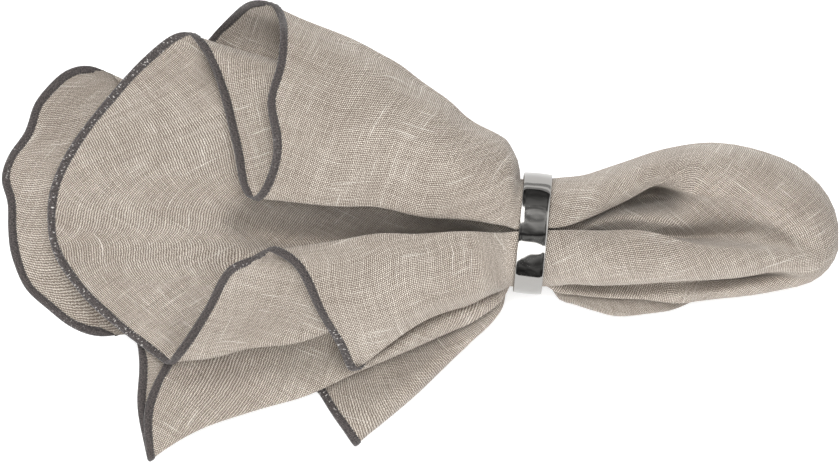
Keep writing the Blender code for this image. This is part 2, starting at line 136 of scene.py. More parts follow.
UPPER_SIDE = [
    Rib("valley", 0, (2, 26), (5, 20), (0, 7), (4, 15.8), (-136, 8, 12)),
    Rib("fan_1", 0, (6, 26.5), (9, 20), (6, 6.5), (16, 16), (-131, 28, 12.2)),
    Rib("fan_2", 0, (9, 28.3), (12.5, 21), (11, 5), (30, 16.3), (-112, 53, 13.6)),
    Rib("fan_edge", 6, (11, 30), (16.5, 23.5), (16.6, 3.5), (44, 18), (-86, 73.4, 16)),
    Rib("under_1", 0, (12.5, 31.3), (15, 27), (14.5, 9), (33, 21), (-76.5, 60, 18.5)),
    Rib("under_2", 0, (16, 32.6), (12.5, 29.5), (9.5, 14), (20, 23.5), (-69.3, 34, 22)),
    Rib("slit_edge", 6, (18.5, 33.6), (10.2, 32.5), (1.85, 18.2), (5.2, 29), (-62.5, 12.4, 25.5)),
    Rib("ridge_1", 0, (22, 34.5), (14, 37), (7.5, 18.1), (17, 33.5), (-54, 27, 31)),
    Rib("ridge_2", 0, (27, 31.5), (19, 35), (13.9, 13.9), (31, 36), (-53, 48, 35)),
    Rib("ridge_3", 0, (31, 25), (22.5, 28), (18, 7.8), (44, 32.5), (-49.5, 72, 33)),
    Rib("roll", 8, (32.7, 17), (23.5, 19.5), (19.6, 0.3), (52.5, 22), (-56, 84.6, 23.5)),
    Rib("inner_1", 0, (32.4, 14.6), (18, 17.3), (16, -0.5), (46, 14.2), (-70, 80, 11.5)),
    Rib("inner_2", 0, (31.8, 13), (12, 17), (10, -0.5), (32, 12.6), (-84, 62, 11.4)),
    Rib("pleat_1", 1.7, (31, 11.4), (6, 15.7), (3.5, -1.9), (10, 11.6), (-100, 14, 10.2)),
    Rib("ply_1", 0, (30.2, 9.9), (14, 14.4), (11, -3.2), (30, 10.6), (-112, 38, 9.4)),
    Rib("pleat_2", 1.7, (29.6, 8.4), (22, 13.2), (19, -4.5), (49, 9.7), (-100, 61.5, 8.5)),
    Rib("ply_2", 0, (28, 7.3), (14, 12), (11, -5.9), (30, 8.8), (-113, 36, 7.7)),
    Rib("pleat_3", 1.7, (26.5, 6.1), (6, 10.8), (3.5, -7.2), (12, 7.9), (-107, 12, 6.9)),
    Rib("ply_3", 0, (25.4, 4.9), (14, 9.5), (11, -8.6), (30, 7), (-115, 36, 6.1)),
    Rib("pleat_4", 1.7, (24.3, 3.7), (20.5, 8.3), (16.8, -10), (47, 6.1), (-102, 58.5, 5.3)),
    Rib("ply_4", 0, (22.6, 2.9), (13, 7), (10, -11.3), (28, 5.2), (-116, 34, 4.5)),
    Rib("pleat_5", 1.7, (20.8, 2.2), (6, 5.8), (3.5, -12.6), (14, 4.3), (-113, 10, 3.7)),
    Rib("ply_5", 0, (19.4, 1.4), (12, 4.5), (7.5, -13.4), (27, 3.3), (-100, 36, 3)),
    Rib("lobe_fold", 2.2, (18, 0.8), (16, 2.6), (12.0, -14.0), (38, 1.9), (-113, 57.5, 2.1)),
]

LOWER_SIDE = [
    Rib("lower_fan_1", 0, (0, 26.5), (2, 19.5), (-6, 6.5), (-8, 16), (-133, -11, 12)),
    Rib("lower_fan_2", 0, (-1.8, 28), (-2, 20.5), (-11, 5), (-17, 16.6), (-114, -33, 13)),
    Rib("lower_fan_edge", 6, (-3, 29.3), (-8, 22.5), (-16.6, 3.5), (-27, 18.4), (-93.5, -48.6, 14.5)),
    Rib("lower_under_1", 0, (-3.8, 30.3), (-6, 26), (-14.5, 9), (-20, 22), (-79.5, -28.5, 18)),
    Rib("lower_under_2", 0, (-4.4, 31.3), (-3, 29), (-9.5, 14), (-11, 25), (-70.8, -13.6, 22)),
    Rib("lower_slit_edge", 4.5, (-5, 32.4), (0.9, 32.2), (1.25, 18.2), (0.1, 30), (-57, -7, 26)),
    Rib("lower_ridge_1", 0, (-8, 33.6), (-4, 36.5), (-7.5, 18.1), (-8, 34), (-46, -13, 29)),
    Rib("lower_ridge_2", 0, (-12.5, 33), (-12, 36), (-13.9, 13.9), (-18, 34), (-38, -27, 28)),
    Rib("lower_ridge_3", 0, (-16, 30), (-18.5, 30), (-18, 7.8), (-27, 30), (-30, -41, 22)),
    Rib("lower_roll", 3, (-17.2, 27), (-19.8, 24), (-19.6, 0.3), (-31.5, 23), (-23.7, -51, 17)),
    Rib("lower_inner_1", 0, (-15.8, 23.5), (-15, 18.5), (-16, -0.5), (-29, 15), (-20, -38, 13.4)),
    Rib("lower_inner_2", 0, (-15.9, 21.8), (-10, 17.5), (-10, -0.5), (-18, 12.8), (-44, -30, 12.4)),
    Rib("lower_pleat_1", 1.7, (-16.6, 20.2), (-6, 16.3), (-3.5, -1.7), (-9, 11.8), (-72, -22, 10.8)),
    Rib("tail_1", 0, (-19, 18.8), (-14, 15), (-9, -3), (-22, 10.9), (-92.5, -46, 9.9)),
    Rib("tail_2", 0, (-21.6, 17), (-20, 15.9), (-14, -3.2), (-32, 10.9), (-99.5, -64, 9.7)),
    Rib("tail_fold", 1.9, (-23.8, 14), (-24.8, 14.6), (-19.1, -4.4), (-40, 9.7), (-97.5, -80, 8.5)),
    Rib("strip_1", 0, (-24.2, 12.3), (-20, 12.6), (-14, -5.8), (-32, 8.6), (-102.5, -63, 7.8)),
    Rib("strip_2", 0, (-24.2, 10.8), (-14, 12), (-9, -5.8), (-22, 8.6), (-104, -44, 8)),
    Rib("lower_pleat_2", 1.7, (-23.9, 9.2), (-6, 11), (-3.5, -7.1), (-10, 7.8), (-111, -18, 7.3)),
    Rib("lower_ply_1", 0, (-23.2, 7.7), (-17, 10), (-11, -8.4), (-28, 6.8), (-100, -30, 6.4)),
    Rib("lower_pleat_3", 1.7, (-22.5, 6.2), (-31.4, 8.2), (-17, -9.8), (-37.5, 6), (-84, -50, 5.6)),
    Rib("lower_ply_2", 0, (-21.3, 4.9), (-17, 6.9), (-11, -11.1), (-28, 5.1), (-98, -28, 4.7)),
    Rib("lower_pleat_4", 1.7, (-20, 3.8), (-6, 6.1), (-3.5, -12.2), (-12, 4.2), (-108, -16, 3.9)),
    Rib("side_1", 0, (-18.6, 2.8), (-13, 4.9), (-7, -13.5), (-26, 3.3), (-76, -37, 3.1)),
    Rib("side_2", 0, (-17, 1.9), (-20, 4.6), (-9.5, -13.4), (-42, 3.1), (-37, -58, 2.9)),
    Rib("side_fold", 1.9, (-15.4, 1.1), (-26, 3), (-12.0, -14.0), (-54.5, 1.9), (-23.5, -79.5, 1.8)),
]

# The back of the cloth lies flat on the surface, between the upper and the lower side
BACK_HEM = [
    (-122.5, 59.8), (-131, 58), (-136.5, 54.5), (-142.6, 47.5), (-146, 37), (-151.3, 28), (-153.4, 19.5),
    (-151.6, 11), (-151.3, 1), (-150, -9), (-145, -19.5), (-136.5, -28), (-127.5, -35), (-118.5, -37.8),
    (-97, -38.5), (-58, -50), (-31.5, -63),
]
# Where its ribs pass inside the ring: how far from the ring's centre, and between which angles
BACK_RADIUS = 19.6
BACK_START_DEG = -56.0
BACK_END_DEG = -124.0
# How far its hem lifts off the surface at two of its points
BACK_LIFT = {4: 0.9, 8: 0.5}

# Soft hollows pressed into the cloth that lies below the folds beside them. A hollow follows points with
# (x, y, half width, share), and presses what lies at its floor's height down by that share of the height,
# less what lies higher, and nothing above its top. A share below 0 raises a ridge. lower is how much
# narrower its side towards -Y is.
Hollow = namedtuple("Hollow", "name floor top lower path")
HOLLOWS = [
    Hollow("valley", 17, 26, 0.6, [
        (-72, 3, 8, 0), (-62, -0.5, 8, 0.7), (-52, -3.4, 7.6, 0.9), (-44, -4.6, 7.4, 0.91),
        (-30, -4.8, 7, 0.91), (-10, -4.6, 5, 0.93), (0, -4, 4.4, 0.93), (15, -2.8, 3.8, 0.9),
        (25, -1, 3, 0.75), (35, 0.5, 2.4, 0),
    ]),
    Hollow("valley bank", 17, 30, 1, [
        (-66, 15, 6, 0), (-56, 13, 5, -0.3), (-46, 12, 4.4, -0.4), (-34, 11.5, 4.4, -0.45),
        (-20, 9.8, 4.6, -0.5), (0, 7.2, 4, -0.5), (14, 4.8, 3, -0.45), (24, 2.8, 2.5, -0.2),
        (30, 2, 2, 0),
    ]),
    Hollow("below the lower roll", 12, 21, 1, [
        (-28, -50, 6, 0), (-12, -44, 6, -0.4), (0, -37, 6, -0.45), (12, -31, 5, -0.45),
        (25, -26, 4, -0.3), (33, -23, 3, 0),
    ]),
    Hollow("pit", 23, 31, 1, [
        (74, 10.5, 2, 0), (80, 12.4, 2.8, 0.6), (88, 14, 3.6, 0.78), (95, 13.2, 4.2, 0.36),
        (102, 11.5, 5, 0.1), (108, 11, 5, 0),
    ]),
    Hollow("crest", 23, 31, 1, [
        (58, 0.6, 2.5, 0), (64, 2.6, 3.4, -0.35), (70, 4, 4.6, -0.43), (78, 4.8, 5.2, -0.45),
        (88, 3.4, 5.6, -0.36), (98, 2, 5.6, -0.22), (108, 1, 6, 0),
    ]),
    Hollow("puff crease", 27, 33, 0.5, [
        (84, -0.8, 1.8, 0), (94, -1.6, 2.6, 0.22), (104, -3, 3.8, 0.3), (114, -3.8, 4.6, 0.28),
        (124, -4.4, 5, 0.2), (136, -5.5, 5, 0),
    ]),
    Hollow("puff end", 30, 38, 0.35, [
        (98, -2, 4, 0), (106, -2.6, 5, 0.1), (114, -3.2, 6, 0.2), (124, -3.8, 6.5, 0.25),
        (133, -4.8, 6.5, 0.2), (141, -6, 6, 0.1), (149, -7, 5, 0),
    ]),
    Hollow("below the puff's edge", 20, 27, 1, [
        (50, -19.8, 2, 0), (58, -20.2, 2, 0.08), (80, -20.6, 2.1, 0.1), (96, -19.8, 2.3, 0.14),
        (112, -18.2, 2.6, 0.3), (132, -13.8, 3, 0.36), (142, -12.8, 2.5, 0.25), (147, -12.5, 2, 0),
    ]),
    Hollow("arch", 13, 20, 1, [
        (-80, 60, 8, 0), (-72, 66, 9, 0.6), (-60, 66, 10, 0.75), (-48, 62, 10, 0.75), (-30, 50, 9, 0),
    ]),
    Hollow("under the lower fan", 10.5, 15, 1, [
        (-96, -54, 6, 0), (-88, -52, 6, 0.2), (-70, -48.5, 6, 0.35), (-50, -45.5, 6.5, 0.45),
        (-30, -42.5, 7, 0.5), (-10, -37, 6, 0.3), (5, -34, 5, 0),
    ]),
    Hollow("side fold", 3, 13, 1, [
        (-30, -74, 6, 0), (-20, -70, 7, -1), (0, -54, 8, -1.8), (20, -36, 8, -1.6), (30, -26, 5, -0.5),
        (34, -24, 4, 0),
    ]),
]

# How finely the sheet is divided: the steps of each span around it, and the rows along it
LONGEST_STEP = 2.3
FEWEST_STEPS = 3
MOST_STEPS = 9
TIP_STEPS = 10
PUFF_ROWS = 34
NECK_ROWS = 8
SKIRT_ROWS = 62

# How far the hem runs along a fold's two layers as it rounds it, and how close to the hem that begins
HEM_LEAN = {
    "fan_edge": 5.5, "slit_edge": 3.5, "roll": -6.0, "lobe_fold": -1.5,
    "lower_slit_edge": -5.0, "lower_fan_edge": -3.5, "lower_roll": -1.5,
}
LEAN_POWER = 5
# How much further the hem hangs out at a corner, and how close to the hem that begins
HANG = {"tail_fold": (-2.4, -5.2, 0)}
HANG_POWER = 14

# Small shifts of the folds in plan, each strongest at (x, y, z) and fading over its reach and its rise.
# The solid has the first thirty too, six of them by other amounts.
Nudge = namedtuple("Nudge", "name x y z reach rise dx dy")
NUDGES = [
    Nudge("back left", -152.4, 20.9, 1, 14, 8, -1.5, 0),
    Nudge("back left low", -149.9, -3.1, 1, 12, 8, -1.1, 0),
    Nudge("back low", -144.3, -21.6, 1, 11, 8, -1.4, -0.9),
    Nudge("back low right", -133, -32, 1, 9, 8, -0.4, -0.9),
    Nudge("fan left", -135, 11.7, 12, 14, 8, -1.5, 0),
    Nudge("fan left low", -133.2, -5, 12, 10, 8, -0.9, 0),
    Nudge("upper hem", -52.5, 48.7, 35, 12, 8, -2.9, 0),
    Nudge("upper hem high", -51.5, 71, 33, 10, 8, -1.9, 0),
    Nudge("arch", -68.5, 80, 15, 10, 10, -0.1, -0.5),
    Nudge("roll out", -22, 70, 25, 18, 15, 1.1, 2),
    Nudge("roll in", 22, 40, 22, 10.5, 15, -1.2, -2.4),
    Nudge("slit edge", -15, 8, 29, 12, 7, 0, 1.8),
    Nudge("lower fan edge left", -76, -46.5, 15.5, 12, 5, 0, -2),
    Nudge("lower fan edge right", -50, -40.5, 17, 13, 5, 0, -2.4),
    Nudge("lower hem", -35, -31, 26, 13, 9, -0.9, 0),
    Nudge("tail low", -81, -75, 9, 16, 7, 0, 1.3),
    Nudge("tail right", -41, -60, 8, 14, 6, 0, -1.7),
    Nudge("strip", -103.5, -66, 8, 13, 7, -2.1, 0),
    Nudge("side hem", -31, -66, 2.5, 12, 6, -2.4, 0),
    Nudge("side right", 25, -31, 3, 10, 10, 2.2, -2),
    Nudge("lower roll", 27, -24.5, 22.8, 7, 7, 0, 1.7),
    Nudge("puff top", 84, 27, 20, 18, 16, 0, 2.4),
    Nudge("puff top right", 126, 30, 22, 10, 14, 0, -0.7),
    Nudge("puff end", 152, 8, 17, 18, 20, 1.2, 0.3),
    Nudge("puff end low", 147, -14, 17, 13, 20, 1, -1.2),
    Nudge("puff low", 129, -23, 17, 10, 20, 0, -0.7),
    Nudge("lobe left", 58, -25.5, 12, 6.5, 14, 0, -1.2),
    Nudge("lobe right", 96, -27.2, 10, 11, 12, 0.6, -2.9),
    Nudge("puff roll", 126, -15, 22, 13, 9, 0, 2.4),
    Nudge("puff slit edge", 88.8, 14.5, 33, 10, 6, 0, 2.4),
    # Only the sheet has these
    Nudge("slit edge at the ring", 29, 2, 37, 9, 8, 0, -1.7),
    Nudge("lower slit edge at the ring", 28, -0.5, 37, 9, 8, 0, 0.9),
    Nudge("lower slit edge", -3, -0.5, 31, 11, 6, 0, -1.1),
    Nudge("roll at the ring", 34, 24, 24, 5.5, 14, 1, 0.6),
    Nudge("side at the ring", 31, -25, 7, 6.5, 12, 1.1, -2.1),
    Nudge("lobe at the ring", 51.2, -23.5, 11, 4.8, 14, -1, -3.2),
    Nudge("puff top at the ring", 53, 20, 22, 6, 14, 0, 0.7),
    Nudge("puff low end", 118, -21.5, 15, 16, 14, 0, -0.5),
    Nudge("back low further right", -121, -38, 1, 8, 6, 0, -0.8),
    Nudge("back upper left", -127, 58.5, 1, 10, 6, -0.2, 1.7),
    Nudge("back upper right", -107, 57, 1, 6, 6, 0, -1.9),
    Nudge("fan low left", -122, -27, 12, 14, 8, -0.7, -0.7),
    Nudge("fan upper left", -103, 55, 14, 16, 10, -0.4, 0.4),
    Nudge("lower fan edge end", -38, -38, 18, 12, 9, 0, -1.5),
    Nudge("puff low right", 141, -19.5, 17, 9, 18, 0.2, -1.1),
    Nudge("puff roll end", 133, -14.5, 22, 9, 7, 0, 2.2),
    Nudge("puff roll at the ring", 54, -20, 22, 8, 7, 0, 1.8),
    Nudge("puff trough", 112, -1, 24, 14, 5, 0, -2),
    Nudge("puff slit edge left", 70, 6.5, 34, 9, 6, 0, -0.8),
    Nudge("roll middle", -7, 61.5, 25, 8, 12, 0.4, 1),
    Nudge("roll right", 17, 42, 24, 8, 12, -0.4, -0.9),
]


def blend(start, end, share):
    return start + (end - start) * share


def back_ribs():
    """The ribs of the flat back, spread evenly from the upper side's last rib to the lower side's."""
    first = UPPER_SIDE[-1]
    last = LOWER_SIDE[-1]
    ribs = []
    for index, (hem_x, hem_y) in enumerate(BACK_HEM):
        share = (index + 1) / (len(BACK_HEM) + 1)
        angle = radians(blend(BACK_START_DEG, BACK_END_DEG, index / (len(BACK_HEM) - 1)))
        far = (blend(first.far[0], last.far[0], share), SOLID_LYING_Z)
        near = (blend(first.near[0], last.near[0], share), SOLID_LYING_Z)
        neck = (BACK_RADIUS * cos(angle), BACK_RADIUS * sin(angle))
        mid = (blend(first.mid[0], last.mid[0], share), SOLID_LYING_Z)
        hem = (hem_x, hem_y, SOLID_LYING_Z + BACK_LIFT.get(index, 0))
        ribs.append(Rib(f"back_{index}", 0, far, near, neck, mid, hem))
    return ribs


RIBS = UPPER_SIDE + back_ribs() + LOWER_SIDE[::-1]


def smooth_value(places, values, at, puff_flare):
    """A smooth curve through values at rising places, level at the first and bent sharply at the ring."""
    gaps = [b - a for a, b in zip(places, places[1:])]
    slopes = [(b - a) / gap for a, b, gap in zip(values, values[1:], gaps)]
    tangents = [0.0]
    for before, after in zip(slopes, slopes[1:]):
        turns = before * after <= 0
        tangents.append(0.0 if turns else 2 * before * after / (before + after))
    tangents.append(slopes[-1])
    index = 0
    while index < len(gaps) - 1 and at > places[index + 1]:
        index += 1
    gap = gaps[index]
    start = slopes[index] * SKIRT_FLARE if index == SKIRT_GAP else tangents[index]
    end = slopes[index] * puff_flare if index == PUFF_GAP else tangents[index + 1]
    t = (at - places[index]) / gap
    return (
        (2 * t**3 - 3 * t**2 + 1) * values[index]
        + (t**3 - 2 * t**2 + t) * gap * start
        + (3 * t**2 - 2 * t**3) * values[index + 1]
        + (t**3 - t**2) * gap * end
    )


def rib_knots(rib):
    """The rib's known points, from the far section towards the hem, as x, y and z."""
    neck_y = RING_Y + rib.neck[0] * NECK_FILL
    neck_z = RING_Z + rib.neck[1] * NECK_FILL
    share_y = SHOULDER_SHARE_UPPER if rib.mid[0] > 0 else SHOULDER_SHARE_LOWER
    hem_x, hem_y, hem_z = rib.hem
    return [
        (FAR_X, *rib.far),
        (NEAR_X, *rib.near),
        (NECK_RIGHT_X, neck_y, neck_z),
        (NECK_LEFT_X, neck_y, neck_z),
        (SHOULDER_X, blend(neck_y, rib.mid[0], share_y), blend(neck_z, rib.mid[1], SHOULDER_SHARE_Z)),
        (MID_X, *rib.mid),
        (hem_x, hem_y, hem_z),
    ]


def rib_point(rib, x):
    """The rib's point where it passes x, with the neck's sections turned square to the ring."""
    knots = rib_knots(rib)
    places = [FAR_X - knot[0] for knot in knots]
    puff_flare = LOW_PUFF_FLARE if rib.neck[1] < 0 else 0.0
    y = smooth_value(places, [knot[1] for knot in knots], FAR_X - x, puff_flare)
    z = smooth_value(places, [knot[2] for knot in knots], FAR_X - x, puff_flare)
    turned = max(0.0, 1 - max(0.0, abs(x - RING_X) - NECK_HALF) / YAW_REACH)
    return Vector((x - tan(radians(RING_YAW_DEG)) * (y - RING_Y) * turned, y, z))


def skirt_point(rib, share):
    """The rib's point at a share of the way from the ring to the hem."""
    x = blend(NECK_LEFT_X, rib.hem[0], share**SKIRT_POWER)
    return rib_point(rib, x) + Vector(HANG.get(rib.name, (0, 0, 0))) * share**HANG_POWER


def fold_points(before, apex, after, along, width, lean):
    """Three points that round a fold: one on each layer, with the fold's outermost point between them.

    lean moves the two layers' points apart along the fold, as where the hem crosses it aslant.
    """
    line = along.normalized()
    to_before = before - apex
    to_after = after - apex
    to_before = (to_before - line * to_before.dot(line)).normalized()
    to_after = (to_after - line * to_after.dot(line)).normalized()
    inward = to_before + to_after
    closed = inward.length / 2
    side = (to_before - to_after).normalized() * width / 2
    depth = inward.normalized() * width / 2 * closed if closed > LEAST_BEND else Vector()
    return [apex + depth + side + line * lean, apex, apex + depth - side - line * lean]


def section(before, apexes, after, fold_scale, fold_share):
    """The closed line of points around the cloth through its ribs' points, with rounded folds."""
    count = len(RIBS)
    line = []
    for index, rib in enumerate(RIBS):
        apex = apexes[index]
        if rib.fold:
            width = blend(NECK_FOLD, rib.fold, fold_share) * fold_scale
            along = after[index] - before[index]
            lean = HEM_LEAN.get(rib.name, 0) * fold_share**LEAN_POWER
            line += fold_points(apexes[index - 1], apex, apexes[(index + 1) % count], along, width, lean)
        else:
            line.append(apex)
    return np.array(line)


def rounded(line, share):
    """The line drawn towards an ellipse around the puff's axis, by a share from 0 to 1."""
    lengths = np.concatenate([[0], np.cumsum(np.linalg.norm(np.roll(line, -1, axis=0) - line, axis=1))])
    low = line.min(axis=0)
    high = line.max(axis=0)
    turn = blend(lengths[:-1] / lengths[-1], np.arange(len(line)) / len(line), share / 2)
    angle = pi / 2 - 2 * pi * turn
    even = line.copy()
    even[:, 1] = (low[1] + high[1]) / 2 + (high[1] - low[1]) / 2 * np.cos(angle)
    even[:, 2] = (low[2] + high[2]) / 2 + (high[2] - low[2]) / 2 * np.sin(angle)
    return blend(line, even, share)


def cage_rows():
    """The cloth's sections through its ribs and folds alone, from beside its tip to its hem."""
    tip = Vector((TIP_X, TIP_Y, TIP_Z))
    far = [rib_point(rib, FAR_X) for rib in RIBS]
    rows = [[tip.copy() for rib in RIBS]]
    settings = []
    for step in range(1, TIP_STEPS + 1):
        angle = radians(90) * step / (TIP_STEPS + 1)
        x = FAR_X + (TIP_X - FAR_X) * cos(angle)
        spread = (1 - cos(angle) ** TIP_POWER) ** (1 / TIP_POWER)
        rows.append([Vector((x, blend(tip.y, p.y, spread), blend(tip.z, p.z, spread))) for p in far])
        roundness = TIP_ROUNDNESS - TIP_ROUNDNESS_LOSS * step / (TIP_STEPS + 1)
        settings.append((FAR_FOLD_SCALE * spread, 0, min(1.0, roundness)))
    for step in range(PUFF_ROWS):
        share = step / PUFF_ROWS
        x = blend(FAR_X, NECK_RIGHT_X, share)
        rows.append([rib_point(rib, x) for rib in RIBS])
        roundness = PUFF_ROUNDNESS - PUFF_ROUNDNESS_LOSS * share
        settings.append((min(1.0, FAR_FOLD_SCALE + FOLD_WIDENING * share), 0, max(0.0, roundness)))
    for step in range(NECK_ROWS):
        rows.append([rib_point(rib, blend(NECK_RIGHT_X, NECK_LEFT_X, step / NECK_ROWS)) for rib in RIBS])
        settings.append((1, 0, 0))
    for step in range(SKIRT_ROWS + 1):
        share = step / SKIRT_ROWS
        rows.append([skirt_point(rib, share) for rib in RIBS])
        settings.append((1, share, 0))
    rows.append(rows[-1])
    lines = []
    for index, (fold_scale, fold_share, round_share) in enumerate(settings):
        before, points, after = rows[index : index + 3]
        lines.append(rounded(section(before, points, after, fold_scale, fold_share), round_share))
    return np.array(lines)


def span_steps(cage):
    """How many steps each span of the cage takes around the cloth, the same in every row."""
    spans = np.linalg.norm(np.roll(cage, -1, axis=1) - cage, axis=2).max(axis=0)
    return np.clip(np.ceil(spans / LONGEST_STEP), FEWEST_STEPS, MOST_STEPS).astype(int)


def root_gap(a, b):
    """The square root of the distance from each point to its partner."""
    return np.maximum(np.linalg.norm(b - a, axis=1, keepdims=True), 1e-6) ** 0.5


def finer_line(points, steps):
    """A closed smooth curve through points, with no loops where they are unevenly spaced."""
    before = np.roll(points, 1, axis=0)
    after = np.roll(points, -1, axis=0)
    later = np.roll(points, -2, axis=0)
    g0 = root_gap(before, points)
    g1 = root_gap(points, after)
    g2 = root_gap(after, later)
    start = (points - before) / g0 - (after - before) / (g0 + g1) + (after - points) / g1
    end = (after - points) / g1 - (later - points) / (g1 + g2) + (later - after) / g2
    start *= g1
    end *= g1
    made = []
    for index, count in enumerate(steps):
        t = (np.arange(count) / count)[:, None]
        made.append(
            (2 * t**3 - 3 * t**2 + 1) * points[index]
            + (t**3 - 2 * t**2 + t) * start[index]
            + (3 * t**2 - 2 * t**3) * after[index]
            + (t**3 - t**2) * end[index]
        )
    return np.concatenate(made)


def nudge_all(rows):
    """Adds every small shift in plan to the points."""
    shift = np.zeros_like(rows)
    for nudge in NUDGES:
        away = ((rows[:, :, :2] - (nudge.x, nudge.y)) ** 2).sum(axis=2) / nudge.reach**2
        away += ((rows[:, :, 2] - nudge.z) / nudge.rise) ** 2
        shift[:, :, :2] += np.exp(-away)[:, :, None] * (nudge.dx, nudge.dy)
    rows += shift


def soft_step(share):
    share = np.clip(share, 0, 1)
    return share * share * (3 - 2 * share)


def press(rows, hollow):
    """Lowers the points in a hollow, the more so the nearer they are to its floor's height."""
    x, y, z = rows[:, :, 0], rows[:, :, 1], rows[:, :, 2]
    places, centres, widths, shares = zip(*hollow.path)
    across = (y - np.interp(x, places, centres)) / np.interp(x, places, widths)
    across = np.where(across < 0, across / hollow.lower, across)
    share = np.interp(x, places, shares) * np.exp(-(across**2))
    above = 1 - soft_step((z - hollow.floor) / (hollow.top - hollow.floor))
    weight = np.where(z < hollow.floor, z / hollow.floor, above)
    rows[:, :, 2] -= share * hollow.floor * weight


def cloth_rows():
    """The fine sheet's points, one row for each section, and which of its columns are out of sight."""
    cage = cage_rows()
    steps = span_steps(cage)
    rows = np.array([finer_line(line, steps) for line in cage])
    nudge_all(rows)
    for hollow in HOLLOWS:
        press(rows, hollow)
    rows[:, :, 2] = np.maximum(rows[:, :, 2], SOLID_LYING_Z) - (SOLID_LYING_Z - CLOTH_THICKNESS / 2)
    out_of_sight = []
    for rib in RIBS:
        out_of_sight += [rib.name in HIDDEN_RIBS] * (FOLD_POINTS if rib.fold else 1)
    return rows, np.repeat(out_of_sight, steps)


def flat_places(rows, hidden):
    """Where each point of the sheet lies on the flat square, from its middle, in millimetres."""
    tip = np.array([TIP_X, TIP_Y, TIP_Z])
    from_tip = np.concatenate([np.broadcast_to(tip, (1,) + rows.shape[1:]), rows])
    reach = np.cumsum(np.linalg.norm(np.diff(from_tip, axis=0), axis=2), axis=0)
    for _ in range(REACH_SMOOTHING):
        reach = (np.roll(reach, 1, axis=1) + 2 * reach + np.roll(reach, -1, axis=1)) / 4
    widths = np.linalg.norm(np.roll(rows, -1, axis=1) - rows, axis=2) / reach
    for _ in range(WIDTH_SMOOTHING):
        before = np.concatenate([widths[:1], widths[:-1]])
        after = np.concatenate([widths[1:], widths[-1:]])
        widths = (before + 2 * widths + after) / 4
    shown = widths[:, ~hidden].sum(axis=1, keepdims=True)
    taken = np.maximum(2 * pi - shown, LEAST_HIDDEN_TURN) / widths[:, hidden].sum(axis=1, keepdims=True)
    widths = np.where(hidden, widths * taken, widths)
    turn = np.cumsum(widths, axis=1) - widths
    return np.stack([reach * np.cos(turn), reach * np.sin(turn), np.zeros_like(reach)], axis=2)


def grid_faces(rows, columns, first):
    """Faces between neighbouring rows of a closed grid whose points start at an index."""
    row, column = np.meshgrid(np.arange(rows - 1), np.arange(columns), indexing="ij")
    beside = (column + 1) % columns
    a = first + row * columns + column
    b = first + (row + 1) * columns + column
    c = first + (row + 1) * columns + beside
    d = first + row * columns + beside
    return np.stack([a, b, c, d], axis=2).reshape(-1, 4).tolist()


def tube_faces(rings, sides):
    """Faces of a closed tube from rings of points, each ring with the same number of sides."""
    faces = []
    for ring in range(rings):
        near = ring * sides
        far = (ring + 1) % rings * sides
        for side in range(sides):
            over = (side + 1) % sides
            faces.append([near + side, near + over, far + over, far + side])
    return faces


def add_mesh(name, points, faces, material):
    """A smooth piece from points in millimetres."""
    mesh = bpy.data.meshes.new(name)
    mesh.from_pydata((np.asarray(points) * MM).tolist(), [], faces)
    mesh.materials.append(material)
    mesh.shade_smooth()
    piece = bpy.data.objects.new(name, mesh)
    bpy.context.scene.collection.objects.link(piece)
    return piece


def add_vectors(piece, name, values):
    """Keeps a vector for each point of a piece, for its material to read."""
    attribute = piece.data.attributes.new(name, "FLOAT_VECTOR", "POINT")
    attribute.data.foreach_set("vector", np.asarray(values, dtype=np.float32).ravel())


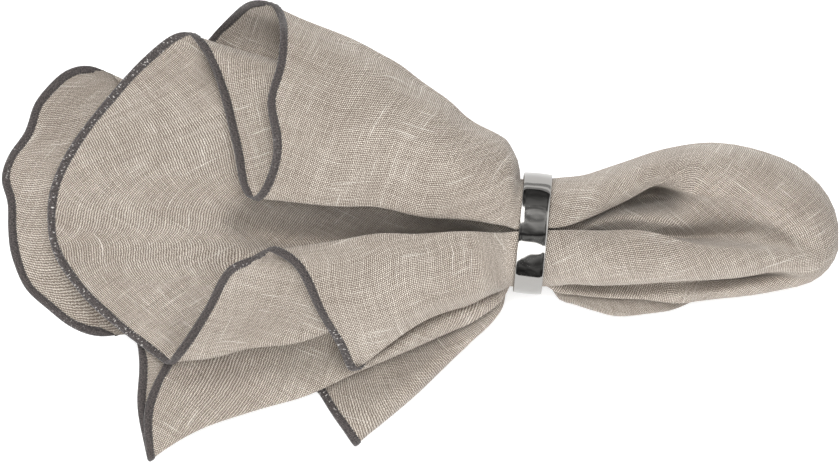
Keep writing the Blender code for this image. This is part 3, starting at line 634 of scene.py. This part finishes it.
class Nodes:
    """Builds the nodes of a material or of the world with short calls."""

    def __init__(self, owner):
        owner.use_nodes = True
        self.owner = owner
        self.tree = owner.node_tree
        self.shader = self.tree.nodes.get("Principled BSDF")

    def add(self, kind, inputs=(), out=0, **settings):
        node = self.tree.nodes.new(kind)
        for key, value in settings.items():
            setattr(node, key, value)
        for key, value in dict(inputs).items():
            self.put(node.inputs[key], value)
        return node.outputs[out]

    def put(self, socket, value):
        if isinstance(value, bpy.types.NodeSocket):
            self.tree.links.new(value, socket)
        else:
            socket.default_value = value

    def math(self, operation, a, b=0.0, c=0.0, clamp=False):
        return self.add("ShaderNodeMath", {0: a, 1: b, 2: c}, operation=operation, use_clamp=clamp)

    def plus(self, a, b, clamp=False):
        return self.math("ADD", a, b, clamp=clamp)

    def minus(self, a, b):
        return self.math("SUBTRACT", a, b)

    def times(self, a, b):
        return self.math("MULTIPLY", a, b)

    def around_zero(self, value, width):
        """A value from 0 to 1, moved and stretched to lie around 0."""
        return self.times(self.minus(value, 0.5), width)

    def stretch(self, value, low, high, to_low=0.0, to_high=1.0, kind="LINEAR"):
        inputs = {0: value, 1: low, 2: high, 3: to_low, 4: to_high}
        return self.add("ShaderNodeMapRange", inputs, interpolation_type=kind)

    def soft(self, value, low, high, to_low=0.0, to_high=1.0):
        return self.stretch(value, low, high, to_low, to_high, kind="SMOOTHSTEP")

    def vector(self, x, y, z):
        return self.add("ShaderNodeCombineXYZ", {0: x, 1: y, 2: z})

    def split(self, vector):
        return self.add("ShaderNodeSeparateXYZ", {0: vector}).node.outputs

    def noise(self, vector, scale, detail):
        return self.add("ShaderNodeTexNoise", {"Vector": vector, "Scale": scale, "Detail": detail})

    def noise_at(self, x, y, z, detail):
        return self.noise(self.vector(x, y, z), 1.0, detail)

    def bump(self, height, strength, depth_metres):
        inputs = {"Height": height, "Strength": strength, "Distance": depth_metres}
        self.put(self.shader.inputs["Normal"], self.add("ShaderNodeBump", inputs))

    def plain(self, values):
        """Gives the shader's own inputs their plain values."""
        for name, value in values.items():
            self.shader.inputs[name].default_value = value

    def mix(self, share, a, b):
        node = self.tree.nodes.new("ShaderNodeMix")
        node.data_type = "RGBA"
        self.put(node.inputs[0], share)
        self.put(node.inputs[6], a)
        self.put(node.inputs[7], b)
        return node.outputs[2]


def colour(red, green, blue):
    """A colour given as it shows on a screen, from 0 to 255, in the linear values that shaders take."""
    values = []
    for level in (red, green, blue):
        share = level / 255
        values.append(share / 12.92 if share <= 0.04045 else ((share + 0.055) / 1.055) ** 2.4)
    return (*values, 1.0)


# The weave: how far apart its threads lie, how far they sway, and how unevenly they are spaced, in threads
THREAD_PITCH = 0.68
THREAD_SWAY = 1.5
THREAD_JITTER = 0.8
# The square's threads run at 45 degrees to the corner in the middle of the fan
DIAGONAL_SHARE = 0.70711
# The noise at which a slub begins and is full, and how much it shows and stands out
SLUB_RANGE = (0.7, 0.84)
SLUB_SHARE = 0.5
# What keeps the noises of neighbouring threads apart, and those of the two sets of threads
THREAD_SPREAD = 3.17
SEED_SPREAD = 31.7
LINEN_BASE = colour(223, 214, 202)
LINEN_DEEP = colour(200, 190, 178)
# Painted shade: the weave takes this colour in the gaps between its threads and at their low, rounded
# sides
LINEN_GAP_PAINTED_SHADE = colour(92, 80, 70)
LINEN_SLUB = colour(244, 238, 228)


def linen_thread(n, across, along, seed):
    """How high a thread stands, its own tone and its slubs, from thread counts across and along it."""
    number = n.math("FLOOR", across)
    rounding = n.math("SINE", n.times(n.minus(across, number), pi))
    parity = n.times(n.plus(number, seed), pi)
    over = n.math("SINE", n.plus(n.times(along, pi), parity))
    own_place = n.plus(number, SEED_SPREAD * seed)
    own = n.add("ShaderNodeTexWhiteNoise", {"W": own_place}, noise_dimensions="1D")
    spread = n.times(number, THREAD_SPREAD)
    long_run = n.noise_at(spread, n.times(along, 0.05), seed, 1.0)
    short_run = n.noise_at(spread, n.times(along, 0.3), 5.0 + seed, 1.0)
    tone = n.plus(n.times(own, 0.45), n.times(short_run, 0.55))
    slub_run = n.noise_at(spread, n.times(along, 0.035), 9.0 + seed, 0.0)
    slub = n.soft(slub_run, *SLUB_RANGE)
    height = n.times(rounding, n.stretch(over, -1.0, 1.0, 0.2, 1.0))
    height = n.times(height, n.stretch(long_run, 0.3, 0.7, 0.86, 1.1))
    slub = n.times(slub, n.times(rounding, n.stretch(over, -1.0, 1.0, 0.45, 1.0)))
    return height, tone, slub


def linen_material():
    """Plain-weave linen: two sets of uneven threads, paler slubs along them, and painted shade where they
    lie low.
    """
    n = Nodes(bpy.data.materials.new("linen"))
    place = n.add("ShaderNodeAttribute", attribute_name="flat_mm", out=1)
    parts = n.split(place)
    sway = n.around_zero(n.noise(place, 0.03, 2.0), THREAD_SWAY)
    u = n.times(n.plus(parts[0], parts[1]), DIAGONAL_SHARE)
    v = n.times(n.minus(parts[0], parts[1]), DIAGONAL_SHARE)
    u = n.math("DIVIDE", n.plus(u, sway), THREAD_PITCH)
    v = n.math("DIVIDE", n.minus(v, sway), THREAD_PITCH)
    uneven = n.split(n.add("ShaderNodeTexNoise", {"Vector": place, "Scale": 0.7, "Detail": 1.0}, out=1))
    u = n.plus(u, n.around_zero(uneven[0], THREAD_JITTER))
    v = n.plus(v, n.around_zero(uneven[1], THREAD_JITTER))
    high_u, tone_u, slub_u = linen_thread(n, u, v, 0.0)
    high_v, tone_v, slub_v = linen_thread(n, v, u, 1.0)
    height = n.math("MAXIMUM", high_u, high_v)
    tone = n.mix(n.math("GREATER_THAN", high_u, high_v), tone_v, tone_u)
    slub = n.math("MAXIMUM", slub_u, slub_v)
    cloud = n.stretch(n.noise(place, 0.04, 3.0), 0.3, 0.7, -0.2, 0.2)
    lightness = n.stretch(n.plus(tone, cloud), 0.25, 0.75)
    base = n.mix(lightness, LINEN_DEEP, LINEN_BASE)
    # Painted shade: where the threads lie low, between and beside each other, the colour darkens towards
    # the gap colour
    weave_with_painted_shade = n.mix(n.stretch(height, 0.45, 0.9), LINEN_GAP_PAINTED_SHADE, base)
    n.put(n.shader.inputs["Base Color"], n.mix(n.times(slub, SLUB_SHARE), weave_with_painted_shade, LINEN_SLUB))
    n.plain({"Roughness": 0.9, "Specular IOR Level": 0.2, "Sheen Weight": 0.15, "Sheen Roughness": 0.6})
    n.bump(n.plus(height, n.times(slub, SLUB_SHARE)), strength=0.8, depth_metres=0.0003)
    return n.owner


# The edging along the hem: its size, how far it hangs over the hem, and how finely it is divided
EDGING_WIDTH = 3.1
EDGING_THICKNESS = 1.15
EDGING_OVERHANG = 0.35
EDGING_STEP = 0.36
EDGING_SIDES = 8
# How far apart the needle's bites are, and how deep
STITCH_PITCH = 1.1
STITCH_BITE = 0.22
# The slow waves of its inner side: how deep each is, over what length, and where it starts, in radians
EDGING_WAVES = [(0.15, 9.0, 0.0), (0.1, 3.7, 1.0)]
# Where the hem turns under, so that its edging is out of sight: (x, y, z) and how far around them, and the
# share of that distance within which there is none at all
TUCKS = [((-112.5, 58.5, 1), 8), ((-108, -39.5, 1), 8.5)]
TUCK_CORE = 0.35
# How far apart its threads lie, and how much they slant from one side of the edging to the other
EDGING_THREAD = 0.55
EDGING_SLANT = 0.35
THREAD_DARK = colour(23, 20, 20)
THREAD_LIGHT = colour(88, 81, 79)
THREAD_GLINT = colour(226, 222, 218)
# Pale glints lie within this reach of the hem's start, and elsewhere in patches. The patches, and the
# specks in them, are where a noise passes these values.
GLINT_REACH = (66.0, 74.0)
GLINT_PATCH = (0.56, 0.64)
GLINT_SPECK = (0.62, 0.72)
GLINT_SHARE = 0.75


def edging_material():
    """Dark grey overlock thread: close slanted stitches across the edge, with a few pale glints."""
    n = Nodes(bpy.data.materials.new("edging"))
    along, across, from_start = n.split(n.add("ShaderNodeAttribute", attribute_name="stitch_mm", out=1))
    slant = n.plus(along, n.times(across, EDGING_SLANT))
    thread = n.math("SINE", n.times(slant, 2 * pi / EDGING_THREAD))
    fibre = n.noise_at(n.times(along, 2.2), n.times(across, 5.0), 0.0, 3.0)
    tone = n.plus(
        n.stretch(thread, -1.0, 1.0, 0.1, 0.55), n.stretch(fibre, 0.35, 0.65, -0.45, 0.6), clamp=True
    )
    body = n.mix(tone, THREAD_DARK, THREAD_LIGHT)
    patch = n.noise_at(n.times(along, 0.02), 3.0, 0.0, 2.0)
    near_start = n.stretch(from_start, *GLINT_REACH, 1.0, 0.0)
    where = n.math("MAXIMUM", near_start, n.stretch(patch, *GLINT_PATCH))
    speck = n.noise_at(n.times(along, 1.5), n.times(across, 2.4), 7.0, 1.0)
    glint = n.times(n.stretch(speck, *GLINT_SPECK), where)
    n.put(n.shader.inputs["Base Color"], n.mix(n.times(glint, GLINT_SHARE), body, THREAD_GLINT))
    n.plain({"Roughness": 0.7, "Sheen Weight": 0.2})
    n.bump(thread, strength=0.6, depth_metres=0.0002)
    return n.owner


def metal_material():
    """Polished metal with faint waves and a few fine marks."""
    n = Nodes(bpy.data.materials.new("metal"))
    place = n.add("ShaderNodeTexCoord", out=3)
    n.plain({"Metallic": 1.0, "Base Color": colour(166, 164, 161)})
    smudge = n.noise(place, 120.0, 4.0)
    n.put(n.shader.inputs["Roughness"], n.stretch(smudge, 0.3, 0.75, 0.04, 0.11))
    n.bump(n.noise(place, 90.0, 1.0), strength=0.5, depth_metres=0.0012)
    return n.owner


def build_napkin(rows, hidden):
    """The sheet of linen."""
    count, around = rows.shape[:2]
    tip = np.array([[TIP_X, TIP_Y, TIP_Z]])
    points = np.concatenate([tip, rows.reshape(-1, 3)])
    faces = [[0, 1 + index, 1 + (index + 1) % around] for index in range(around)]
    faces += grid_faces(count, around, 1)
    napkin = add_mesh("linen_sheet", points, faces, linen_material())
    places = flat_places(rows, hidden).reshape(-1, 3)
    add_vectors(napkin, "flat_mm", np.concatenate([np.zeros((1, 3)), places]))
    return napkin


def even_curve(points, step):
    """Even steps along a closed line: how far along, after which point, and the share up to the next."""
    closed = np.concatenate([points, points[:1]])
    lengths = np.concatenate([[0], np.cumsum(np.linalg.norm(np.diff(closed, axis=0), axis=1))])
    count = int(lengths[-1] / step)
    at = np.linspace(0, lengths[-1], count, endpoint=False)
    index = np.searchsorted(lengths, at, side="right") - 1
    share = (at - lengths[index]) / (lengths[index + 1] - lengths[index])
    return at, index, share[:, None]


def build_edging(rows):
    """The overlock stitching that wraps the hem, its inner side uneven where the needle bites."""
    hem = rows[-1]
    inner = rows[-2]
    at, index, share = even_curve(hem, EDGING_STEP)
    following = (index + 1) % len(hem)
    centre = blend(hem[index], hem[following], share)
    inward = blend(inner[index], inner[following], share) - centre
    inward /= np.linalg.norm(inward, axis=1, keepdims=True)
    along = np.roll(centre, -1, axis=0) - np.roll(centre, 1, axis=0)
    along /= np.linalg.norm(along, axis=1, keepdims=True)
    inward -= along * np.sum(inward * along, axis=1, keepdims=True)
    inward /= np.linalg.norm(inward, axis=1, keepdims=True)
    up = np.cross(along, inward)
    up /= np.linalg.norm(up, axis=1, keepdims=True)
    tucked = np.ones_like(at)
    for place, around in TUCKS:
        tucked *= soft_step(np.linalg.norm(centre - place, axis=1) / around - TUCK_CORE)
    bite = STITCH_BITE * np.sin(at * 2 * pi / STITCH_PITCH)
    uneven = sum(depth * np.sin(at / length + start) for depth, length, start in EDGING_WAVES)
    from_start = np.minimum(at, at[-1] - at)
    points = []
    marks = []
    for side in range(EDGING_SIDES):
        angle = 2 * pi * side / EDGING_SIDES
        reach = (1 + cos(angle)) / 2
        width = (EDGING_WIDTH + (bite + uneven) * reach) * tucked
        place = -EDGING_OVERHANG * tucked + width * reach
        lift = (sin(angle) * EDGING_THICKNESS / 2 * tucked)[:, None]
        points.append(centre + inward * place[:, None] + up * lift)
        marks.append(np.stack([at, np.full_like(at, reach), from_start], axis=1))
    points = np.stack(points, axis=1)
    marks = np.stack(marks, axis=1)
    points[:, :, 2] = np.maximum(points[:, :, 2], 0.0)
    faces = tube_faces(len(at), EDGING_SIDES)
    edging = add_mesh("overlock_edging", points.reshape(-1, 3), faces, edging_material())
    add_vectors(edging, "stitch_mm", marks.reshape(-1, 3))
    return edging


def build_ring():
    """The polished band, a hair crowned, with rounded rims."""
    inner = RING_OUTER_RADIUS - RING_WALL
    outer = RING_OUTER_RADIUS - RING_CROWN
    half = RING_WIDTH / 2
    flat_half = half - RING_EDGE
    outer_points = []
    for step in range(RING_OUTER_STEPS + 1):
        share = step / RING_OUTER_STEPS * 2 - 1
        outer_points.append((share * flat_half, RING_OUTER_RADIUS - RING_CROWN * share**2))
    right = [
        (half - RING_EDGE * RING_RIM[0], outer - RING_EDGE * RING_RIM[1]),
        (half, outer - RING_EDGE),
        (half, inner + RING_EDGE),
        (flat_half, inner),
    ]
    profile = outer_points + right + [(-x, radius) for x, radius in reversed(right)]
    points = []
    for segment in range(RING_SEGMENTS):
        angle = 2 * pi * (segment + 0.5) / RING_SEGMENTS
        points += [(x, r * cos(angle), r * sin(angle)) for x, r in profile]
    ring = add_mesh("polished_ring", points, tube_faces(RING_SEGMENTS, len(profile)), metal_material())
    ring.location = Vector((RING_X, RING_Y, RING_Z + RING_LIFT)) * MM
    ring.rotation_euler = (0, 0, radians(RING_YAW_DEG))
    return ring


# The floor's own look and size, and then the two colours that the ring mirrors of it
FLOOR_COLOUR = (0.75, 0.75, 0.75, 1)
FLOOR_GLOW = 0.45
FLOOR_HALF_METRES = 3.0
FLOOR_DROP_METRES = 0.0002
MIRRORED_COLOUR = (0.5, 0.5, 0.5, 1)
MIRRORED_DARK = (0.02, 0.02, 0.02, 1)
# Where the mirrored floor turns dark, along Y in metres, where a paler strip starts and ends in its dark
# part, and how pale that is
FLOOR_EDGE = (0.1, 0.112)
STRIP_START = (0.175, 0.19)
STRIP_END = (0.32, 0.34)
STRIP_SHARE = 0.8


def build_stage():
    """A plain pale floor that glows a little. The ring mirrors it with a dark part and a strip."""
    half = FLOOR_HALF_METRES
    mesh = bpy.data.meshes.new("floor")
    corners = [(-half, -half, 0), (half, -half, 0), (half, half, 0), (-half, half, 0)]
    mesh.from_pydata(corners, [], [(0, 1, 2, 3)])
    floor = bpy.data.objects.new("floor", mesh)
    floor.location.z = -FLOOR_DROP_METRES
    bpy.context.scene.collection.objects.link(floor)
    n = Nodes(bpy.data.materials.new("floor"))
    far = n.split(n.add("ShaderNodeTexCoord", out=3))[1]
    edge = n.soft(far, *FLOOR_EDGE)
    strip = n.minus(n.stretch(far, *STRIP_START), n.stretch(far, *STRIP_END))
    mirrored = n.mix(n.minus(edge, n.times(strip, STRIP_SHARE)), MIRRORED_COLOUR, MIRRORED_DARK)
    mirror_ray = n.tree.nodes.new("ShaderNodeLightPath").outputs["Is Glossy Ray"]
    n.put(n.shader.inputs["Base Color"], n.mix(mirror_ray, FLOOR_COLOUR, mirrored))
    n.plain({"Roughness": 0.9, "Specular IOR Level": 0.0})
    n.plain({"Emission Color": (1, 1, 1, 1), "Emission Strength": FLOOR_GLOW})
    mesh.materials.append(n.owner)


# Each row is a broad soft lamp: where it stands around the object, from +X towards +Y, and how high, both
# in degrees, how wide it looks from there, and its strength. None of them mirrors in the ring.
Lamp = namedtuple("Lamp", "name azimuth elevation spread strength")
LAMPS = [
    Lamp("overhead", 90, 80, 36, 3.1),
    Lamp("far_side", 96, 34, 40, 1.2),
    Lamp("far_left", 140, 34, 40, 0.8),
    Lamp("near_side", 275, 14, 30, 2.9),
    Lamp("near_left", 212, 20, 34, 0.95),
]


def add_lamp(lamp):
    light = bpy.data.lights.new(lamp.name, "SUN")
    light.energy = lamp.strength
    light.angle = radians(lamp.spread)
    piece = bpy.data.objects.new(lamp.name, light)
    flat = cos(radians(lamp.elevation))
    towards = Vector((
        flat * cos(radians(lamp.azimuth)),
        flat * sin(radians(lamp.azimuth)),
        sin(radians(lamp.elevation)),
    ))
    piece.rotation_euler = towards.to_track_quat("Z", "Y").to_euler()
    piece.visible_camera = False
    piece.visible_glossy = False
    bpy.context.scene.collection.objects.link(piece)


# The even light on the cloth
SKY_LIGHT = (0.03, 0.03, 0.03, 1)
# How bright the studio's parts look in the ring: its sides from low to high, its ceiling and its panels
STUDIO_SIDES = (0.05, 0.2)
STUDIO_CEILING = 0.3
STUDIO_PANEL = 4.0
STUDIO_RIGHT_PANEL = 1.5


def build_world():
    """Faint even light for the cloth and, for mirror rays alone, a dark studio with bright panels."""
    world = bpy.data.worlds.new("studio")
    bpy.context.scene.world = world
    n = Nodes(world)
    background = n.tree.nodes["Background"]
    x, y, z = n.split(n.add("ShaderNodeTexCoord", out=0))
    sides = n.soft(z, 0.1, 0.75, *STUDIO_SIDES)
    blotch = n.stretch(n.noise(n.vector(x, y, z), 5.0, 2.0), 0.35, 0.65, 0.5, 1.6)
    ceiling = n.soft(y, 0.05, 0.5, 0.0, STUDIO_CEILING)
    ceiling = n.times(ceiling, n.soft(z, 0.5, 0.75))
    dark_line = n.soft(n.math("ABSOLUTE", y), 0.02, 0.07, 0.2, 1.0)
    # A bright panel on the near side, wider on its left, one far to the left and one low on the right
    reach = n.stretch(x, -0.2, 0.15, 0.26, 0.1)
    near = n.minus(n.math("ABSOLUTE", n.plus(y, 0.5)), reach)
    near = n.soft(near, -0.03, 0.03, STUDIO_PANEL, 0.0)
    left = n.soft(n.math("ABSOLUTE", n.minus(y, 0.56)), 0.18, 0.26, STUDIO_PANEL, 0.0)
    left = n.times(left, n.soft(x, -0.15, -0.09, 1.0, 0.0))
    right = n.soft(x, 0.4, 0.5, 0.0, STUDIO_RIGHT_PANEL)
    panels = n.math("MAXIMUM", n.math("MAXIMUM", near, left), right)
    shade = n.times(n.times(n.plus(sides, ceiling), dark_line), blotch)
    mirrored = n.plus(shade, n.times(panels, n.stretch(z, 0.0, 0.3)))
    rays = n.tree.nodes.new("ShaderNodeLightPath")
    seen = n.mix(rays.outputs["Is Glossy Ray"], SKY_LIGHT, mirrored)
    seen = n.mix(rays.outputs["Is Camera Ray"], seen, (1, 1, 1, 1))
    n.put(background.inputs["Color"], seen)


def build_lights():
    """The studio around the object, and its lamps."""
    build_world()
    for lamp in LAMPS:
        add_lamp(lamp)


def build_camera():
    camera = bpy.data.objects.new("camera", bpy.data.cameras.new("camera"))
    bpy.context.scene.collection.objects.link(camera)
    camera.data.lens = CAMERA_LENS
    camera.data.sensor_width = SENSOR_WIDTH
    shown_width = PHOTO_WIDTH_PIXELS * PHOTO_MM_PER_PIXEL
    distance = shown_width * CAMERA_LENS / SENSOR_WIDTH
    camera.location = (0, 0, (CAMERA_PLANE_Z + distance) * MM)
    camera.data.clip_end = CAMERA_REACH_METRES
    bpy.context.scene.camera = camera


def main():
    scene = bpy.context.scene
    scene.view_settings.view_transform = "Standard"
    rows, hidden = cloth_rows()
    napkin = build_napkin(rows, hidden)
    edging = build_edging(rows)
    ring = build_ring()
    for piece, slot in ((napkin, "linen"), (edging, "linen"), (ring, "metal")):
        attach(piece, "root")
    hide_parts("napkin")
    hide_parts("ring")
    build_stage()
    build_lights()
    build_camera()


main()
